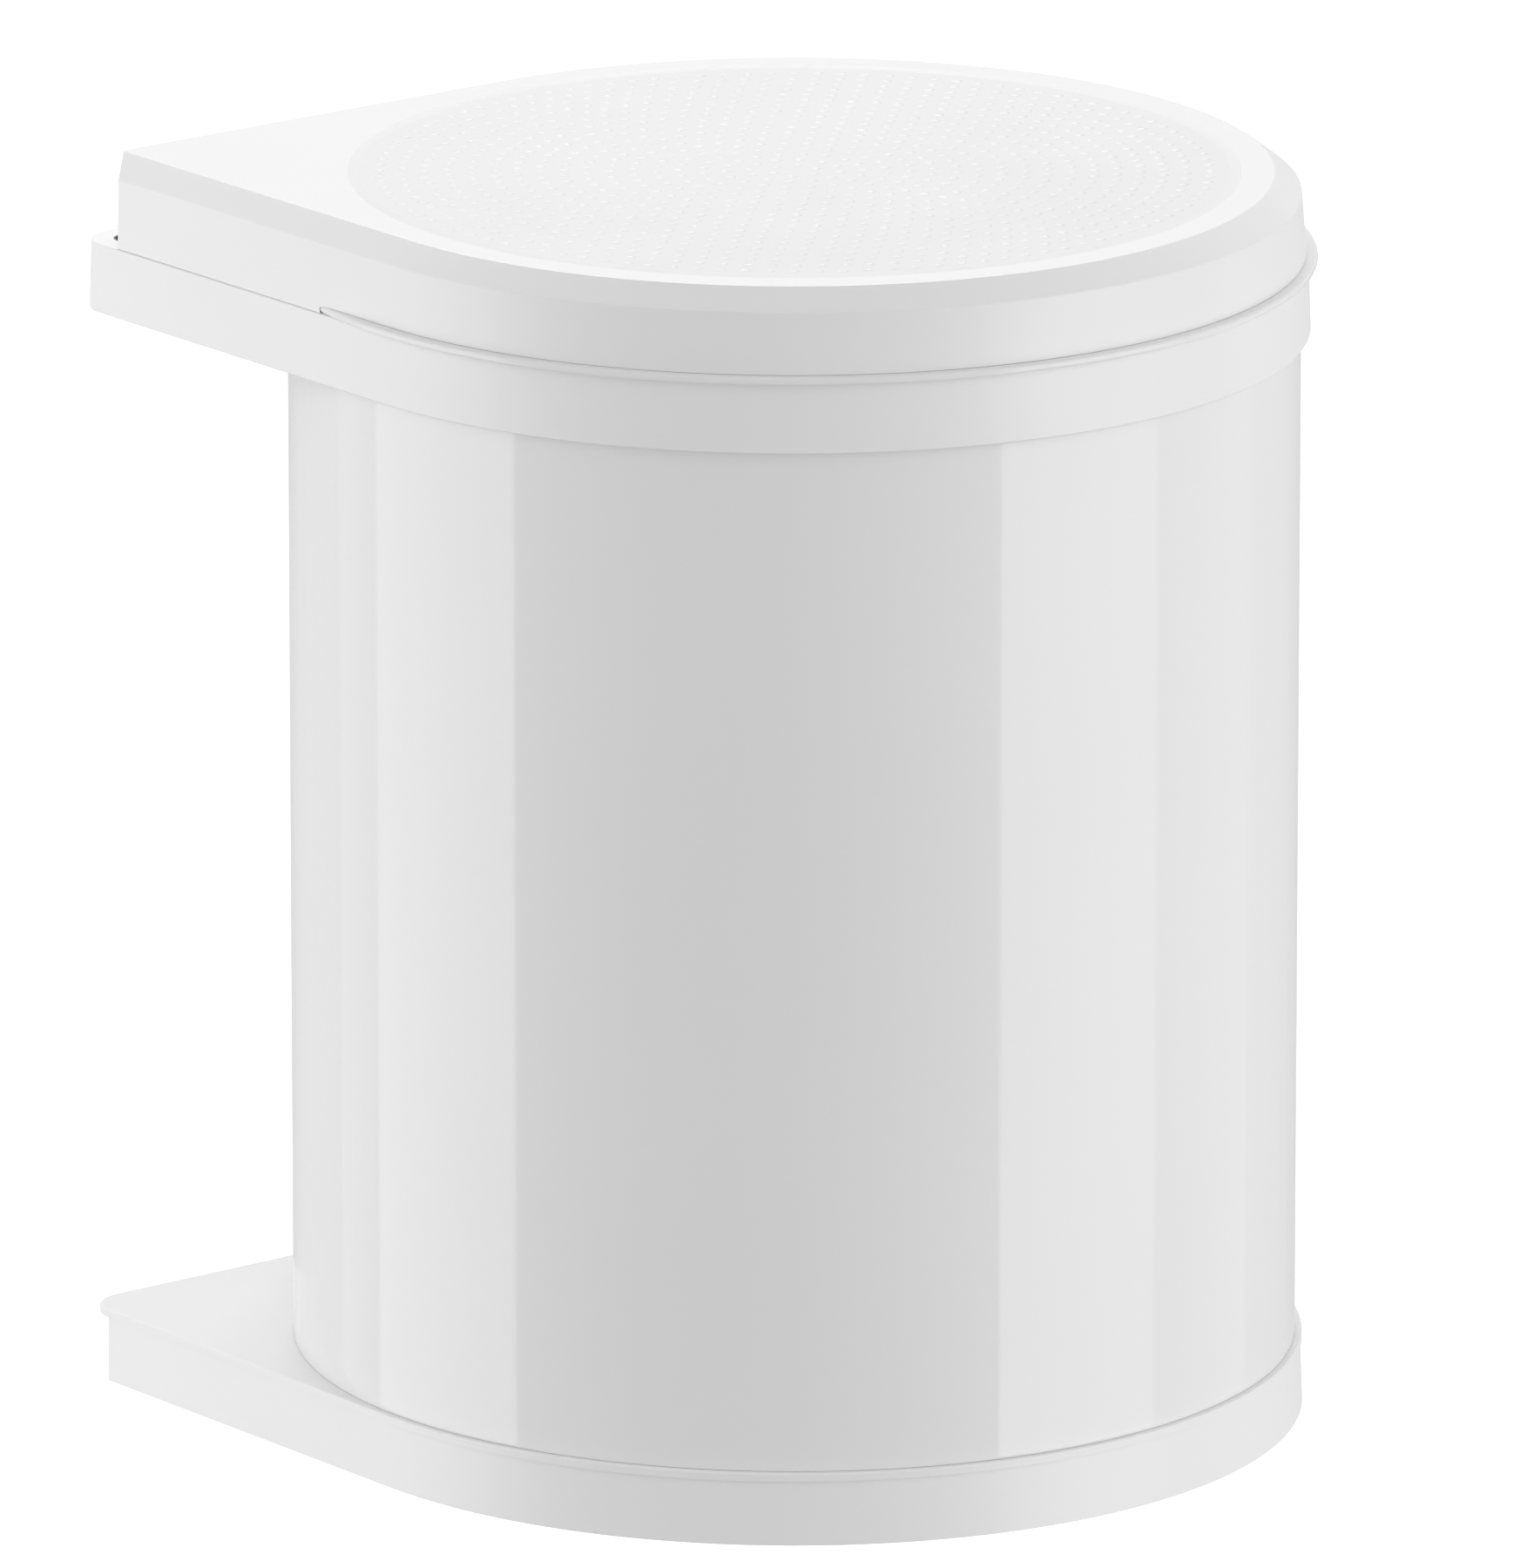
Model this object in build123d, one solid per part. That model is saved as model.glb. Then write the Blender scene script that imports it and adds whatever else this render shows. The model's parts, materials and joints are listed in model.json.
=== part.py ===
from build123d import *

import os
from math import asin, cos, degrees, hypot, radians, sin, sqrt

# Swing-out cabinet bin: a steel bucket held between a base and a ring, on a bracket that is
# screwed to the cabinet's side wall. Sizes are in millimetres, angles in degrees.
# While it is built, the bucket's axis is x = y = 0 and the base's foot is z = 0. The door is on
# the -Y side and the side wall on the -X side. The upright pivot is in the square corner between
# them. At the end every piece is moved to the part's own origin, which is the middle of the four
# wall screw holes, on the back of the bracket.

# Bucket of white coated steel
bucket_radius = 136.5
bucket_sheet = 0.8
exposed_wall = 281.0
bead_reach = 4.4
bead_height = 2.1
bead_round = 0.95
foot_gap = 0.1
bottom_flange = 6.0
bottom_rest_width = 18.0
bottom_rise = 1.5
seam_clearance = 0.05

# Base of white moulded plastic
base_height = 20.0
base_margin = 2.0
base_plate = 2.2
base_wall = 2.3
base_skirt_inset = 0.5
base_draft = 0.7
base_corner_reach = 8.2
base_rib = 2.0
base_rib_drop = 11.0
base_hub_radius = 30.0
base_rib_clearance = 5.5
base_rib_count = 6

# Ring round the top of the bucket, of the same plastic
ring_height = 19.0
ring_margin = 2.0
ring_draft = 0.6
ring_wall = 2.2
ring_plate = 2.5
ring_fit = 0.25
ring_inner_wall = 2.0
edge_round = 0.5

# Lid
lid_gap = 0.1
lid_height = 24.1
lid_step = 0.5
lid_corner_inset = 0.6
lid_draft = 1.5
lid_bevel_width = 7.3
lid_bevel_height = 5.5
lid_wall = 2.3
lid_plate = 2.6
panel_margin = 9.0
panel_depth = 0.3
panel_slope = 3.0
rim_rib_inset = 6.4
lid_rib = 2.0
rim_rib_drop = 11.0
bead_clearance = 0.15
bead_gap = 0.08
lid_round = 0.5

# Upright pivot in the square corner
pivot_inset = 11.5
pin_radius = 4.0
pin_clearance = 0.08
bush_radius = 5.5
bush_flange_radius = 8.5
bush_flange = 1.8
fixed_fit = 0.03
boss_wall = 3.4
swing_range = 90.0

# Washer and screw that keep the ring on its pivot pin
recess_depth = 5.6
recess_radius = 4.9
washer_radius = 4.6
washer_thickness = 0.8
washer_gap = 0.3
screw_radius = 2.0
screw_head_radius = 3.5
screw_head = 2.1
screw_depth = 9.0
thread_fit = 0.05

# Wall bracket, folded from steel sheet
sheet = 2.0
bracket_gap = 1.5
bracket_half_width = 50.0
bracket_round = 8.0
arm_rise = 0.3
base_arm_rise = 3.0
arm_near = 17.0
arm_far_width = 9.0
arm_shoulder = 38.0
arm_eye = 6.5
arm_neck_azimuth = 120.0
arm_clearance = 0.4
upper_lug = 10.7
lower_lug = 14.0
wall_hole_radius = 2.75
wall_hole_spacing_y = 64.0
wall_hole_spacing_z = 256.0
pad_radius = 5.0
pad_distance = 20.0
pad_clearance = 0.3

# Lid hinge, on the side that faces the cabinet wall
hinge_offset = 0.7
hinge_drop = 3.0
knuckle_radius = 2.9
hinge_pin_radius = 1.5
hinge_clearance = 0.08
hinge_pin_fit = 0.03
hinge_pin_recess = 0.5
pocket_reach = 0.4
knuckle_gap = 0.4
lid_knuckle = 8.0
ring_knuckle = 5.0
knuckle_gusset = 6.0
web_rise = 0.5
first_hinge = 24.0
second_hinge = 72.0
hinge_relief = 1.6
hinge_relief_start = 2.2
lid_range = 42.0

# Push rod that lifts the lid, and the fixed cam that it climbs
lifter_radius = 3.0
lifter_orbit = 15.0
lifter_azimuth = 78.0
lifter_clearance = 0.08
lifter_gap = 0.3
lifter_rise = 8.5
guide_height = 4.0
guide_wall = 2.4
cam_inner = 10.5
cam_outer = 19.5
cam_base = 1.4
cam_step = 0.2
cam_overrun = 6.0
cam_steps = 12
cam_clearance = 1.0
rivet_radius = 1.5
rivet_length = 6.2
rivet_shares = (0.4, 0.75)
lobe_width = 7.0
lobe_lead = 3.7
lobe_run = 2.5

# Inner bin with its bail handle
bin_clearance = 3.6
bin_taper = 7.5
bin_wall = 1.6
bin_floor = 2.0
bin_rim_reach = 2.6
bin_rim_drop = 3.1
bin_rim_skirt = 9.0
bin_rim_plate = 2.2
wire_radius = 2.0
wire_end = 9.0
wire_seat = 0.1
lug_width = 14.0
lug_thickness = 3.0
lug_rise = 7.0
lug_embed = 0.4
lug_clearance = 0.25
wire_side_gap = 0.2
grip_radius = 4.0
grip_half_angle = 24.0
grip_fit = 0.05

# Screws that hold the bucket on the base
base_screw_inset = 7.0
base_screw_count = 4
base_screw_radius = 1.9
base_screw_head_radius = 3.8
base_screw_head = 2.4
base_screw_length = 12.0
base_boss_wall = 2.6
recess_width = 0.9
recess_sink = 1.2

# Rail under the base, in which a roller on the cabinet door runs
rail_length = 124.0
rail_width = 16.0
rail_height = 11.0
rail_slot = 11.0
rail_web = 3.0
rail_inset = 15.0
rail_start = 30.0
rail_rise = 3.0
rail_screw_spacing = 90.0
rail_screw_radius = 1.6
rail_screw_head_radius = 3.2
rail_screw_head = 1.8
rail_screw_length = 6.5
rail_boss_radius = 4.5

# Rubber buffers between ring and lid
lid_buffer_radius = 3.0
lid_buffer_height = 2.6
lid_buffer_stem = 1.6
lid_buffer_stem_out = 0.5
lid_buffer_inset = 9.5
lid_buffer_clearance = 3.5
lid_buffer_pitch = 28.0
buffer_rib_length = 20.0

# Room beyond the end of a pin or screw in a blind hole
blind_gap = 0.5

# How far a cutting tool runs past what it cuts
past = 5.0

# How near to a level an edge lies when it counts as being on it
level_reach = 0.01

# Levels
ring_bottom = base_height + exposed_wall
ring_top = ring_bottom + ring_height
ring_underside = ring_top - ring_plate
bead_top = ring_top + bead_height
lid_bottom = ring_top + lid_gap
lid_top = lid_bottom + lid_height
lid_underside = lid_top - lid_plate
base_underside = base_height - base_plate

# Half widths of the plan shape, from the bucket's axis to a straight side
ring_half = bucket_radius + ring_margin
ring_foot_half = ring_half + ring_draft
base_half = bucket_radius + base_margin
skirt_half = base_half - base_skirt_inset
skirt_foot_half = skirt_half + base_draft
lid_foot_half = ring_half - lid_step
lid_side_half = lid_foot_half - lid_draft
lid_top_half = lid_side_half - lid_bevel_width

# Radii of the round pieces, and places in the base, measured from the bucket's axis
panel_radius = lid_top_half - panel_margin
rim_rib_radius = panel_radius - rim_rib_inset
bin_top_radius = bucket_radius - bucket_sheet - bin_clearance - bin_rim_reach
bin_bottom_radius = bin_top_radius - bin_taper
base_screw_orbit = bucket_radius - base_screw_inset
rail_distance = bucket_radius - rail_inset
base_rib_reach = rail_distance - rail_width / 2 - base_rib_clearance

# Places of the pivot, the hinge, the lifter, the cam, the bracket and the rail
pivot = -(ring_half - pivot_inset)
pivot_distance = -pivot * sqrt(2)
arm_far = -pivot - bracket_half_width
rail_middle = pivot + rail_start + rail_length / 2
hinge_x = -(ring_half + hinge_offset)
hinge_z = ring_top - hinge_drop
hinge_starts = (pivot + first_hinge, pivot + second_hinge)
hinge_length = 2 * ring_knuckle + lid_knuckle + 2 * knuckle_gap
lifter_x = pivot + lifter_orbit * cos(radians(lifter_azimuth))
lifter_y = pivot + lifter_orbit * sin(radians(lifter_azimuth))
lever = lifter_x - hinge_x
lift = lever * radians(lid_range)
cam_slope = lift / radians(swing_range)
bracket_face = -(ring_foot_half + bracket_gap)
wall_plane = bracket_face - sheet
upper_arm = ring_bottom + arm_rise
lower_arm = base_arm_rise
bracket_top = upper_arm + upper_lug
bracket_middle = (lower_arm + bracket_top) / 2
cam_floor = upper_arm + sheet
cam_start = cam_floor + cam_base + cam_step
upper_pin_top = ring_top - recess_depth + washer_gap
lower_bush_top = base_underside - bush_flange
lower_pin_top = lower_bush_top - bush_flange
bin_stand = base_height + bottom_rise + bucket_sheet
bin_rim_level = bead_top - bin_rim_drop
wire_level = bin_rim_level + wire_radius + wire_seat
bail_radius = bin_top_radius - bin_wall + lug_embed + wire_side_gap + wire_radius


def outline(half, level, corner=None):
    """Plan shape of lid, ring and base: a circle with one square corner towards -X and -Y.
    The corner is rounded about the pivot, unless another radius is given."""
    turn = half + pivot if corner is None else corner
    edges = [Line((turn - half, -half), (0, -half))]
    for start in (-90, 0, 90):
        edges.append(CenterArc((0, 0), half, start, 90))
    edges.append(Line((-half, 0), (-half, turn - half)))
    if turn > 0:
        edges.append(CenterArc((turn - half, turn - half), turn, 180, 90))
    return Pos(0, 0, level) * Face(Wire(edges))


def between(low_half, low, high_half, high, corner=None):
    """Solid between two plan shapes, with straight drafted sides."""
    return loft([outline(low_half, low, corner), outline(high_half, high, corner)], ruled=True)


def rod(radius, low, high, x=0.0, y=0.0):
    """Upright round bar."""
    return Pos(x, y, low) * Cylinder(radius, high - low, align=(Align.CENTER, Align.CENTER, Align.MIN))


def block(x0, x1, y0, y1, z0, z1):
    """Box between two corners."""
    return Pos((x0 + x1) / 2, (y0 + y1) / 2, (z0 + z1) / 2) * Box(x1 - x0, y1 - y0, z1 - z0)


def beyond_corner(distance, low, high):
    """Everything further out than an upright plane across the square corner."""
    size = 2 * bucket_radius
    slab = Box(size, 2 * size, high - low, align=(Align.MAX, Align.CENTER, Align.MIN))
    return Rot(0, 0, 45) * Pos(-distance, 0, low) * slab


def turned(*profile):
    """Round body made by turning (radius, height) points about the bucket's axis."""
    points = [(radius, 0, height) for radius, height in profile]
    return revolve(make_face(Polyline(*points, close=True)), Axis.Z)


def spots(count, orbit, first=0.0):
    """Places evenly round the bucket's axis."""
    angles = [radians(first + 360 * i / count) for i in range(count)]
    return [(orbit * cos(a), orbit * sin(a)) for a in angles]


def at_pivot(radius, azimuth):
    """Point at a distance and an azimuth from the pivot, in plan."""
    return (radius * cos(radians(azimuth)), radius * sin(radians(azimuth)))


def along_y(radius, start, end):
    """Round bar on the hinge axis."""
    bar = Cylinder(radius, end - start, align=(Align.CENTER, Align.CENTER, Align.MIN))
    return Pos(hinge_x, start, hinge_z) * Rot(-90, 0, 0) * bar


def xz_prism(edges, start, end):
    """Prism along Y whose section is drawn on the plane y = 0."""
    return Pos(0, start, 0) * extrude(make_face(edges), amount=end - start, dir=(0, 1, 0))


def knuckles(start):
    """Spans along Y of one hinge: a knuckle of the ring, one of the lid, one of the ring."""
    lid_start = start + ring_knuckle + knuckle_gap
    lid_end = lid_start + lid_knuckle
    last_start = lid_end + knuckle_gap
    return (start, start + ring_knuckle), (lid_start, lid_end), (last_start, last_start + ring_knuckle)


def cam_angles():
    """Azimuths of the cam's high end and low end, seen from the pivot."""
    return lifter_azimuth - swing_range - cam_overrun, lifter_azimuth + 2 * cam_overrun


def cam_sector():
    """Flat sector round the pivot, as wide as the cam."""
    high_end, low_end = cam_angles()
    first = at_pivot(cam_outer, high_end)
    last = at_pivot(cam_outer, low_end)
    arc = CenterArc((0, 0), cam_outer, high_end, low_end - high_end)
    return make_face([Line((0, 0), first), arc, Line(last, (0, 0))])


def rivet_places():
    """The two rivets under the cam."""
    offsets = [at_pivot(lifter_orbit, lifter_azimuth - share * swing_range) for share in rivet_shares]
    return [(pivot + x, pivot + y) for x, y in offsets]


def arm_shape():
    """Arm in plan, from its fold at the wall to the eye round the pivot. The neck keeps inside
    the ring's rounded corner, which passes it as the bin swings."""
    fold = wall_plane - pivot
    points = [
        (0, 0),
        at_pivot(arm_eye, arm_neck_azimuth),
        at_pivot(pivot_inset + ring_draft + arm_clearance, arm_neck_azimuth),
        (fold, arm_near),
        (fold, arm_far),
        (fold + arm_far_width, arm_far),
        (cam_inner, arm_shoulder),
    ]
    arm = make_face(Polyline(*points, close=True))
    return Pos(pivot, pivot) * (arm + Circle(arm_eye) + cam_sector())


def make_wall_bracket():
    """Plate on the cabinet wall. One arm is folded out of it inside the ring, one in the base."""
    plate = block(wall_plane, bracket_face, -bracket_half_width, bracket_half_width, lower_arm, bracket_top)
    plate = fillet(plate.edges().filter_by(Axis.X).group_by(Axis.Y)[-1], bracket_round)
    for level, lug in ((upper_arm, upper_lug), (lower_arm, lower_lug)):
        plate += block(wall_plane, bracket_face, pivot + arm_near, pivot + arm_far, level, level + lug)
        plate += Pos(0, 0, level) * extrude(arm_shape(), amount=sheet)
        plate -= rod(pin_radius + fixed_fit, level - past, level + sheet + past, pivot, pivot)
    for y in (-wall_hole_spacing_y / 2, wall_hole_spacing_y / 2):
        for z in (-wall_hole_spacing_z / 2, wall_hole_spacing_z / 2):
            hole = Rot(0, 90, 0) * Cylinder(wall_hole_radius, sheet + 2 * past)
            plate -= Pos(wall_plane + sheet / 2, y, bracket_middle + z) * hole
    for x, y in rivet_places():
        plate -= rod(rivet_radius + fixed_fit, upper_arm - past, cam_floor + past, x, y)
    return plate


def make_lift_cam():
    """Ramp round the pivot. Its top climbs evenly with the angle, and the rod rises evenly."""
    high_end, low_end = cam_angles()
    flat = Pos(pivot, pivot, cam_floor) * extrude(cam_sector(), amount=cam_base)
    ramp_foot = lifter_azimuth + cam_overrun
    sections = []
    for i in range(cam_steps + 1):
        azimuth = ramp_foot + (high_end - ramp_foot) * i / cam_steps
        top = cam_start + cam_slope * radians(lifter_azimuth - azimuth)
        low_side = [(cam_inner, 0, cam_floor), (cam_outer, 0, cam_floor)]
        high_side = [(cam_outer, 0, top), (cam_inner, 0, top)]
        section = make_face(Polyline(*low_side, *high_side, close=True))
        sections.append(Pos(pivot, pivot) * Rot(0, 0, azimuth) * section)
    cam = flat + loft(sections, ruled=True)
    cam -= rod(cam_inner, cam_floor - past, ring_top, pivot, pivot)
    for x, y in rivet_places():
        cam -= rod(rivet_radius + fixed_fit, cam_floor - past, upper_arm + rivet_length, x, y)
    return cam


def make_cam_rivets():
    """Rivets that hold the cam on the upper arm."""
    return [rod(rivet_radius, upper_arm, upper_arm + rivet_length, x, y) for x, y in rivet_places()]


def make_upper_pivot_pin():
    """Pivot pin of the ring, riveted into the upper arm and tapped for its screw."""
    pin = rod(pin_radius, upper_arm, upper_pin_top, pivot, pivot)
    thread = rod(screw_radius + thread_fit, upper_pin_top - screw_depth, ring_top, pivot, pivot)
    return pin - thread


def make_lower_pivot_pin():
    """Pivot pin of the base, riveted into the lower arm."""
    return rod(pin_radius, lower_arm, lower_pin_top, pivot, pivot)


def make_pivot_washer():
    """Washer on the upper pin. It reaches over the shoulder in the bush."""
    washer = rod(washer_radius, upper_pin_top, upper_pin_top + washer_thickness, pivot, pivot)
    return washer - rod(screw_radius + thread_fit, upper_pin_top - past, ring_top, pivot, pivot)


def make_pivot_screw():
    """Screw in the upper pin, with a six-sided socket."""
    seat = upper_pin_top + washer_thickness
    screw = rod(screw_radius, upper_pin_top - screw_depth, seat, pivot, pivot)
    screw += rod(screw_head_radius, seat, seat + screw_head, pivot, pivot)
    socket = extrude(RegularPolygon(screw_radius, 6), amount=screw_head)
    return screw - Pos(pivot, pivot, seat + screw_head / 2) * socket


def bush(floor, top):
    """Flanged bush on a pivot pin."""
    body = rod(bush_flange_radius, floor, floor + bush_flange, pivot, pivot)
    body += rod(bush_radius, floor, top, pivot, pivot)
    return body - rod(pin_radius + pin_clearance, floor - past, top + past, pivot, pivot)


def make_upper_bush():
    """Dark bush that shows in the ring's corner, with a recess for the washer and screw."""
    recess = rod(recess_radius, ring_top - recess_depth, ring_top + past, pivot, pivot)
    return bush(cam_floor, ring_top) - recess


def make_lower_bush():
    """Bush in the base's corner. Its flange carries the bin's weight on the lower arm."""
    return bush(lower_arm + sheet, lower_bush_top)


def make_closing_pads():
    """Rubber pads on the bracket, against which the ring and the base come to rest."""
    pads = []
    ring_level = (ring_bottom + bracket_top) / 2
    base_level = lower_arm + lower_lug / 2
    for level, side in ((ring_level, ring_foot_half), (base_level, skirt_foot_half)):
        thickness = -side - bracket_face - pad_clearance
        pad = Cylinder(pad_radius, thickness, align=(Align.CENTER, Align.CENTER, Align.MIN))
        pads.append(Pos(bracket_face, -pad_distance, level) * Rot(0, 90, 0) * pad)
    return pads


def ring_knuckle_body(start, end):
    """Knuckle of the ring, with a gusset that runs down the ring's outer wall."""
    inner = -ring_half + ring_wall / 2
    section = Polyline(
        (hinge_x - knuckle_radius, 0, hinge_z),
        (hinge_x, 0, hinge_z + knuckle_radius),
        (inner, 0, hinge_z + knuckle_radius),
        (inner, 0, hinge_z - knuckle_gusset),
        (-ring_half, 0, hinge_z - knuckle_gusset),
        close=True,
    )
    return along_y(knuckle_radius, start, end) + xz_prism(section, start, end)


def lid_knuckle_body(start, end):
    """Knuckle of the lid, with a web that runs up into the lid's outer wall."""
    inner = -lid_foot_half + lid_wall / 2
    section = Polyline(
        (hinge_x - knuckle_radius, 0, hinge_z),
        (hinge_x - knuckle_radius, 0, lid_bottom + web_rise),
        (inner, 0, lid_bottom + knuckle_gusset),
        (inner, 0, lid_bottom),
        (hinge_x + knuckle_radius, 0, lid_bottom),
        (hinge_x + knuckle_radius, 0, hinge_z),
        close=True,
    )
    return along_y(knuckle_radius, start, end) + xz_prism(section, start, end)


def lid_buffer_places():
    """Places of the rubber buffers, along the ring's front side. The last one clears the bead."""
    y = -ring_half + lid_buffer_inset
    reach = bucket_radius + bead_reach + lid_buffer_radius + lid_buffer_clearance
    last = -sqrt(reach**2 - y**2)
    return [(last - lid_buffer_pitch, y), (last, y)]


def level_edges(solid, level):
    """The edges of a solid that lie on one level."""
    return solid.edges().filter_by_position(Axis.Z, level - level_reach, level + level_reach)


def make_ring_frame():
    """Ring round the bucket's top, hollow in its square corner. Its wall side is cut open where
    the bracket's arm and the cam pass. It carries the bush, the hinges and the push rod."""
    ring = between(ring_foot_half, ring_bottom, ring_half, ring_top)
    ring = fillet(level_edges(ring, ring_bottom) + level_edges(ring, ring_top), edge_round)
    bore = bucket_radius + ring_fit
    depth = ring_height - ring_plate + past
    hollow = extrude(outline(ring_half - ring_wall, ring_bottom - past), amount=depth)
    ring -= hollow - rod(bore + ring_inner_wall, ring_bottom - past, ring_top)
    ring -= rod(bore, ring_bottom - past, ring_top + past)
    outside = -ring_foot_half - past
    slot_x = pivot - arm_eye / 2
    slot_top = cam_floor + cam_clearance
    slot_far = pivot + hypot(wall_plane - pivot, arm_far) + cam_clearance
    ring -= block(outside, slot_x, pivot - arm_eye - arm_clearance, slot_far, ring_bottom - past, slot_top)
    window_far = pivot + cam_outer + cam_clearance
    ring -= block(outside, slot_x, pivot - cam_clearance, window_far, ring_bottom, ring_underside)
    boss_foot = cam_floor + bush_flange
    corner = rod(pivot_inset - edge_round, boss_foot, ring_underside, pivot, pivot)
    ring += corner & block(outside, pivot, outside, pivot, boss_foot, ring_underside)
    ring += rod(bush_radius + boss_wall, boss_foot, ring_underside, pivot, pivot)
    ring -= rod(bush_radius + fixed_fit, ring_bottom, ring_top + past, pivot, pivot)
    guide_top = ring_top + guide_height
    ring += rod(lifter_radius + guide_wall, ring_underside, guide_top, lifter_x, lifter_y)
    ring -= rod(lifter_radius + lifter_clearance, ring_bottom, guide_top + past, lifter_x, lifter_y)
    for start in hinge_starts:
        first, middle, last = knuckles(start)
        pocket_x = hinge_x + knuckle_radius + pocket_reach
        pocket_foot = hinge_z - knuckle_radius - pocket_reach
        near = middle[0] - knuckle_gap
        far = middle[1] + knuckle_gap
        ring -= block(outside, pocket_x, near, far, pocket_foot, ring_top + past)
        ring += ring_knuckle_body(*first) + ring_knuckle_body(*last)
        ring -= along_y(hinge_pin_radius + hinge_pin_fit, first[0] - past, last[1] + past)
    for x, y in lid_buffer_places():
        ring -= rod(lid_buffer_stem, ring_underside - past, ring_top + past, x, y)
    return ring


def make_hinge_pins():
    """Steel pins of the two lid hinges."""
    pins = []
    for start in hinge_starts:
        end = start + hinge_length
        pins.append(along_y(hinge_pin_radius, start + hinge_pin_recess, end - hinge_pin_recess))
    return pins


def lobe_point(share):
    """Point of the lobe's underside, for a share of the lid's opening. The lobe is shaped so
    that the rod's round top touches it evenly while the rod rises in step with the lid."""
    angle = radians(lid_range) * share
    up = lifter_rise + lever * angle
    reach = lifter_radius + lifter_gap
    x = lever * cos(angle) + (up + reach) * sin(angle)
    z = (up + reach) * cos(angle) - lever * sin(angle)
    return (hinge_x + x, 0, hinge_z + z)


def make_lobe():
    """Lobe under the lid, on which the push rod acts."""
    start, middle, end = [lobe_point(share) for share in (0, 0.5, 1)]
    slope = radians(lid_range)
    lead = (start[0] - lobe_lead, 0, start[2])
    tip = (end[0] + lobe_run * cos(slope), 0, end[2] - lobe_run * sin(slope))
    top = lid_underside + panel_depth
    edges = [
        Line(lead, start),
        ThreePointArc(start, middle, end),
        Line(end, tip),
        Line(tip, (tip[0], 0, top)),
        Line((tip[0], 0, top), (lead[0], 0, top)),
        Line((lead[0], 0, top), lead),
    ]
    return xz_prism(edges, lifter_y - lobe_width / 2, lifter_y + lobe_width / 2)


def make_lid():
    """Lid with bevelled edge, round sunk panel, skirt, ribs, hinge knuckles and lobe."""
    side_top = lid_top - lid_bevel_height
    outer = between(lid_foot_half, lid_bottom, lid_side_half, side_top, 0)
    outer += between(lid_side_half, side_top, lid_top_half, lid_top, 0)
    outer = fillet(level_edges(outer, lid_top), lid_round)
    corner = lid_top_half * sqrt(2) - lid_corner_inset
    outer -= beyond_corner(corner, lid_bottom - past, lid_top + past)
    outer = fillet(level_edges(outer, side_top), lid_round)
    bevel = hypot(lid_bevel_width, lid_bevel_height)
    inner_side = lid_side_half - lid_wall
    inner_top = lid_top_half - lid_wall * bevel / lid_bevel_height
    inner_top += lid_plate * lid_bevel_width / lid_bevel_height
    inner_knee = lid_underside - (inner_side - inner_top) * lid_bevel_height / lid_bevel_width
    hollow = between(lid_foot_half - lid_wall, lid_bottom, inner_side, inner_knee, 0)
    hollow += between(inner_side, inner_knee, inner_top, lid_underside, 0)
    hollow -= beyond_corner(corner - lid_wall, lid_bottom - past, lid_top)
    lid = outer - hollow
    dish = Cone(panel_radius - panel_slope, panel_radius, panel_depth)
    lid -= Pos(0, 0, lid_top - panel_depth / 2) * dish
    rib_foot = lid_underside - rim_rib_drop
    rib = rod(rim_rib_radius, rib_foot, lid_underside + panel_depth)
    lid += rib - rod(rim_rib_radius - lid_rib, rib_foot - past, lid_top)
    half_rib = lid_rib / 2
    rib_end = -ring_half + buffer_rib_length
    buffer_top = ring_top + lid_buffer_height + bead_clearance
    for x, y in lid_buffer_places():
        lid += outer & block(x - half_rib, x + half_rib, -ring_half, rib_end, buffer_top, lid_underside)
    lid += make_lobe()
    relief_top = bead_top + bead_gap
    relief = rod(bucket_radius + bead_reach + bead_clearance, lid_bottom - past, relief_top)
    lid -= fillet(level_edges(relief, relief_top), bead_round)
    outside = -lid_foot_half - past
    relief_x = -inner_side + past
    relief_z = relief_top + hinge_relief
    relief_y = hinge_starts[1] + hinge_length + hinge_relief_start
    lid -= block(outside, relief_x, relief_y, -outside, lid_bottom - past, relief_z)
    for start in hinge_starts:
        middle = knuckles(start)[1]
        lid += lid_knuckle_body(*middle)
        lid -= along_y(hinge_pin_radius + hinge_clearance, middle[0] - past, middle[1] + past)
    return lid


def make_lid_lifter():
    """Push rod with round ends, between the fixed cam and the lid's lobe."""
    tilt = sqrt(1 + (cam_slope / lifter_orbit) ** 2)
    low = cam_start + (lifter_radius + lifter_gap) * tilt
    high = hinge_z + lifter_rise
    lifter = rod(lifter_radius, low, high, lifter_x, lifter_y)
    for level in (low, high):
        lifter += Pos(lifter_x, lifter_y, level) * Sphere(lifter_radius)
    return lifter


def make_lid_buffers():
    """Rubber buffers, pressed into holes of the ring, on which the lid's ribs land."""
    buffers = []
    for x, y in lid_buffer_places():
        stud = rod(lid_buffer_radius, ring_top, ring_top + lid_buffer_height, x, y)
        stud = fillet(level_edges(stud, ring_top + lid_buffer_height), lid_buffer_height / 3)
        stem = rod(lid_buffer_stem - fixed_fit, ring_underside - lid_buffer_stem_out, ring_top, x, y)
        buffers.append(stud + stem)
    return buffers


def base_screw_spots():
    """Places of the screws that hold the bucket on the base."""
    return spots(base_screw_count, base_screw_orbit, 180 / base_screw_count)


def rail_screw_spots():
    """Places of the screws that hold the rail."""
    return [(rail_middle + side * rail_screw_spacing / 2, -rail_distance) for side in (-1, 1)]


def rail_screw_cone(x, y, low, clearance=0.0):
    """Countersunk head, or the sink for it."""
    foot = rail_screw_head_radius + clearance
    neck = rail_screw_radius + clearance
    head = Cone(foot, neck, rail_screw_head, align=(Align.CENTER, Align.CENTER, Align.MIN))
    return Pos(x, y, low) * head


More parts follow.
